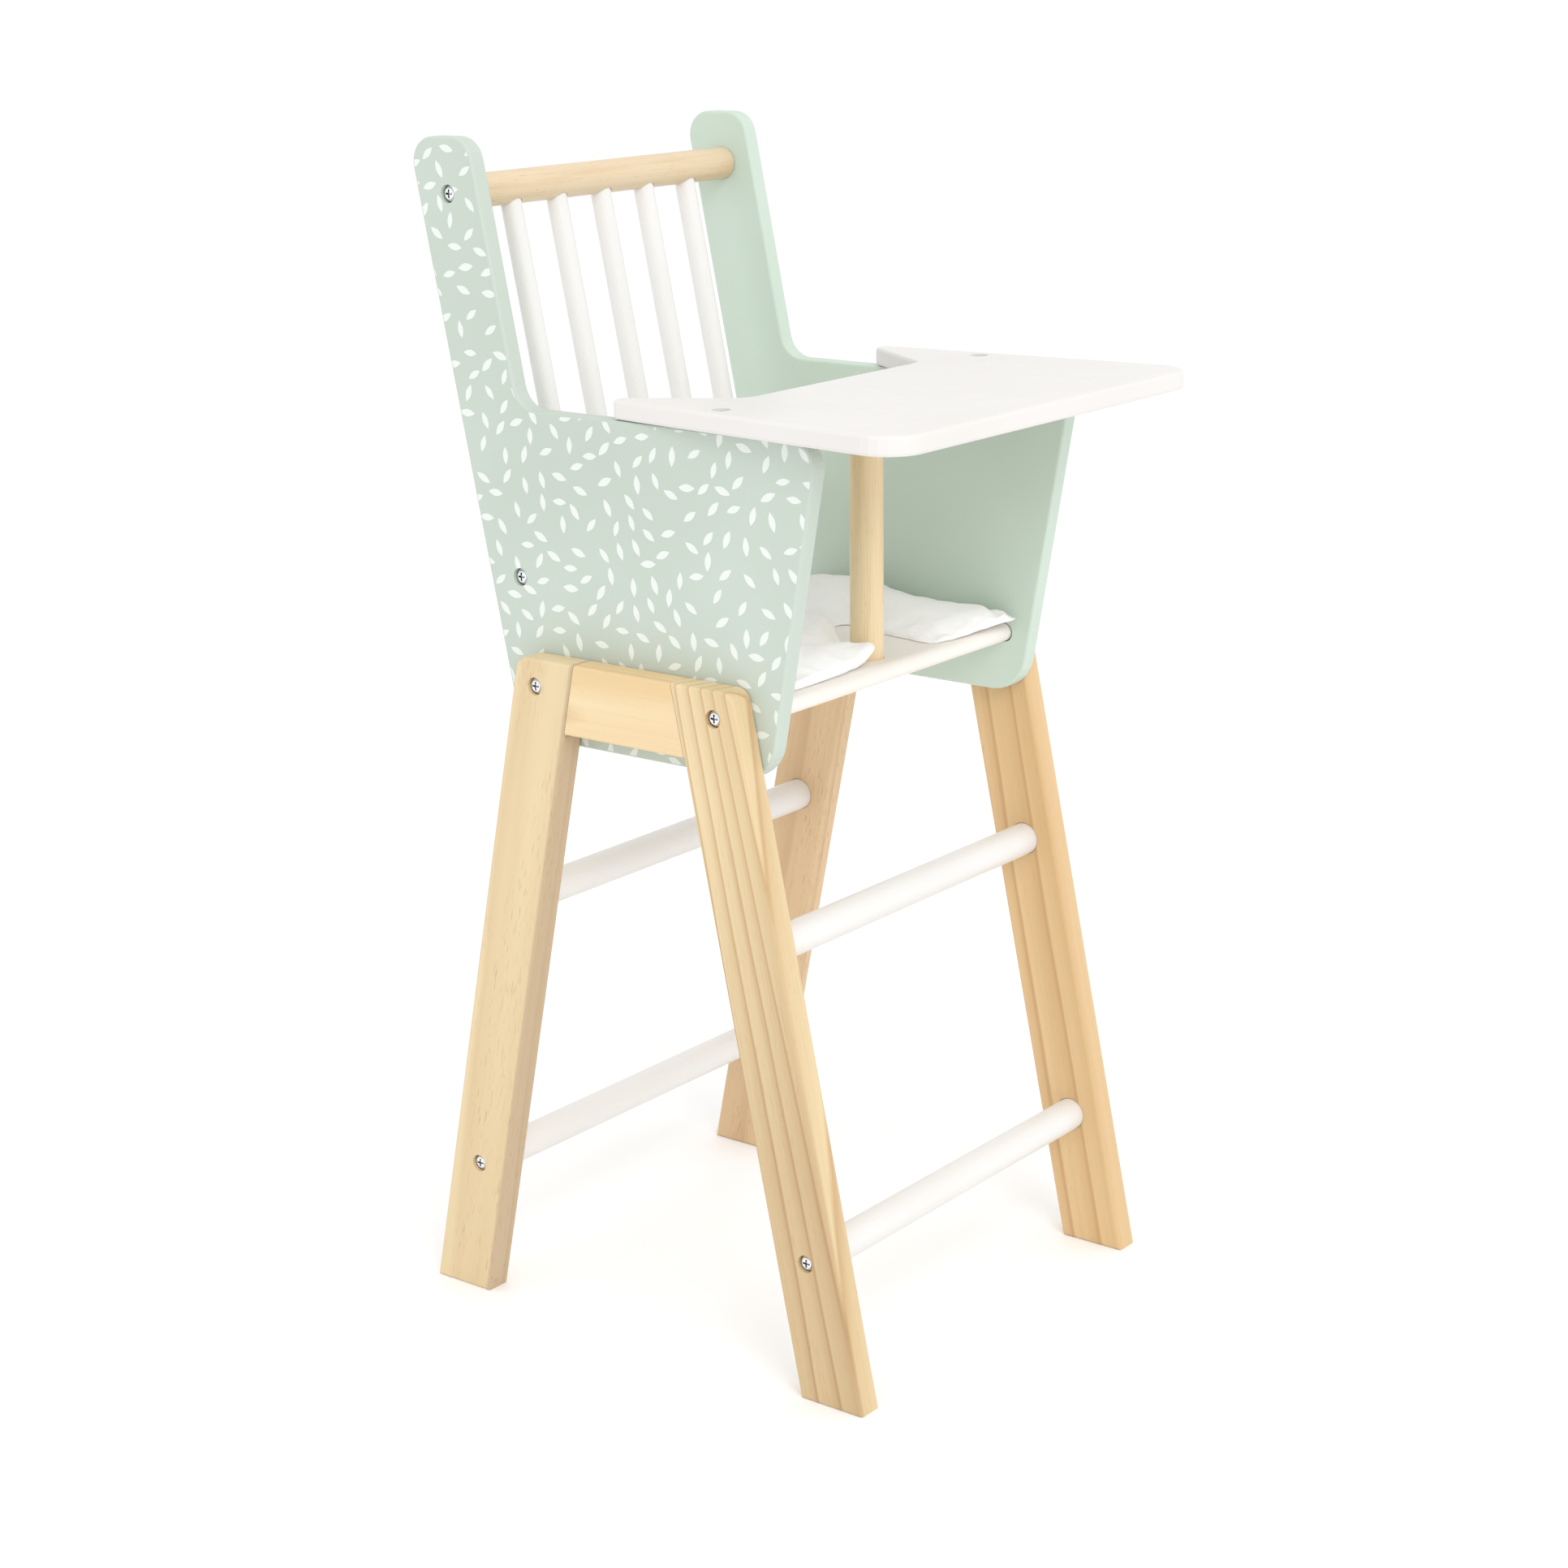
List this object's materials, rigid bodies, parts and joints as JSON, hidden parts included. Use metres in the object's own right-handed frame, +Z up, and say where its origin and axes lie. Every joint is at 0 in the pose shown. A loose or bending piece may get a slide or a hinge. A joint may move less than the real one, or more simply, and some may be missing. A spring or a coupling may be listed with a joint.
{
  "type": "doll high chair",
  "caption": "Toy high chair for a doll: pine A-frames, sage green side panels with armrests, a white tray on a post, a dowel back, a seat board and a loose seat pad.",
  "frame": {"origin": "on the floor, under the middle of the chair's box", "axes": "+Z up, the chair faces -Y, +X to the right as seen from the front"},
  "size_m": [0.2436, 0.2886, 0.565],
  "materials": {
    "pine": "clear satin varnish",
    "beech": "clear satin varnish",
    "sage_paint": "satin sage green paint, white seed marks on the outer face",
    "white_paint": "satin white paint",
    "cotton": "matt woven",
    "zinc": "bright plated",
    "brass": "satin"
  },
  "bodies": {
    "chair": {"left_panel": "sage_paint", "left_cross_rail": "pine", "left_front_leg": "pine", "left_rear_leg": "pine", "right_panel": "sage_paint", "right_cross_rail": "pine", "right_front_leg": "pine", "right_rear_leg": "pine", "back_top_rail": "beech", "back_lower_rail": "beech", "tray_post": "beech", "back_spindle_1": "white_paint", "back_spindle_2": "white_paint", "back_spindle_3": "white_paint", "back_spindle_4": "white_paint", "back_spindle_5": "white_paint", "front_upper_stretcher": "white_paint", "front_lower_stretcher": "white_paint", "rear_upper_stretcher": "white_paint", "rear_lower_stretcher": "white_paint", "seat_board": "white_paint", "tray": "white_paint", "left_back_top_rail_screw": "zinc", "left_back_top_rail_insert": "brass", "left_back_lower_rail_screw": "zinc", "left_back_lower_rail_insert": "brass", "left_tray_screw": "zinc", "left_tray_insert": "brass", "left_front_seat_screw": "zinc", "left_front_seat_insert": "brass", "left_rear_seat_screw": "zinc", "left_rear_seat_insert": "brass", "left_front_stretcher_screw": "zinc", "left_front_stretcher_insert": "brass", "left_rear_stretcher_screw": "zinc", "left_rear_stretcher_insert": "brass", "right_back_top_rail_screw": "zinc", "right_back_top_rail_insert": "brass", "right_back_lower_rail_screw": "zinc", "right_back_lower_rail_insert": "brass", "right_tray_screw": "zinc", "right_tray_insert": "brass", "right_front_seat_screw": "zinc", "right_front_seat_insert": "brass", "right_rear_seat_screw": "zinc", "right_rear_seat_insert": "brass", "right_front_stretcher_screw": "zinc", "right_front_stretcher_insert": "brass", "right_rear_stretcher_screw": "zinc", "right_rear_stretcher_insert": "brass"},
    "pad": {"seat_pad": "cotton"}
  },
  "joints": [
    {"name": "pad_lift", "type": "slide", "parent": "chair", "child": "pad", "axis": [0, 0, 1], "range_m": [0, 0.05]}
  ]
}
